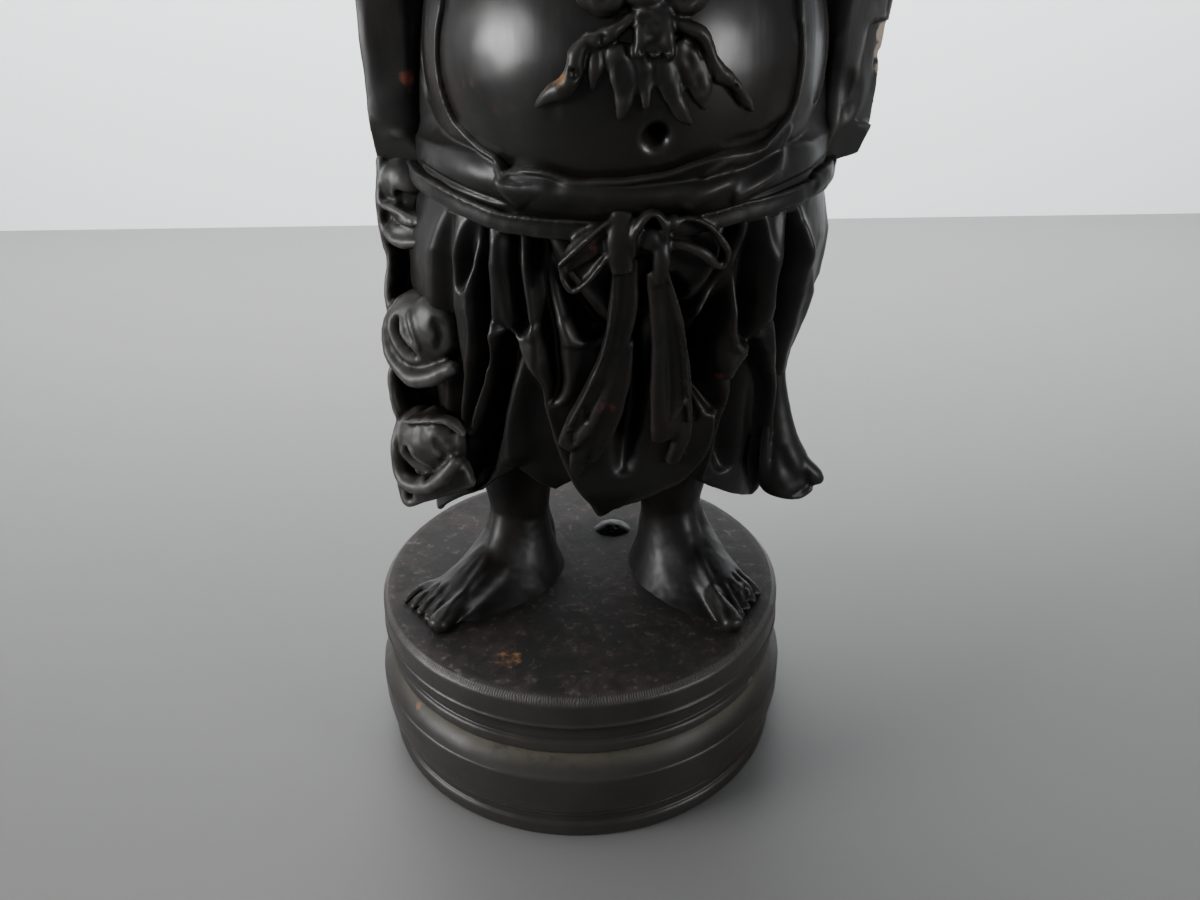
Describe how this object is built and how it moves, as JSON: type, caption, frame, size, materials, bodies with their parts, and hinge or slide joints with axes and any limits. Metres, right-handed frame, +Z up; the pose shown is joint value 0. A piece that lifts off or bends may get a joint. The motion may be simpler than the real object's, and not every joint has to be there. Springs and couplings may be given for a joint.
{
  "type": "laughing buddha statue",
  "caption": "Standing laughing buddha with raised arms, bare round belly, belted and pleated robe, carved in one with a round turned plinth.",
  "frame": {"origin": "centre of the plinth's underside, on the floor", "axes": "+Z up the figure, -Y the way the figure faces, +X to the figure's left hand"},
  "size_m": [0.1396, 0.1266, 0.3458],
  "materials": {
    "stained_waxed_hardwood": "stained near-black, waxed to a worn satin sheen"
  },
  "bodies": {
    "root": {"laughing_buddha_statue": "stained_waxed_hardwood"}
  },
  "joints": []
}
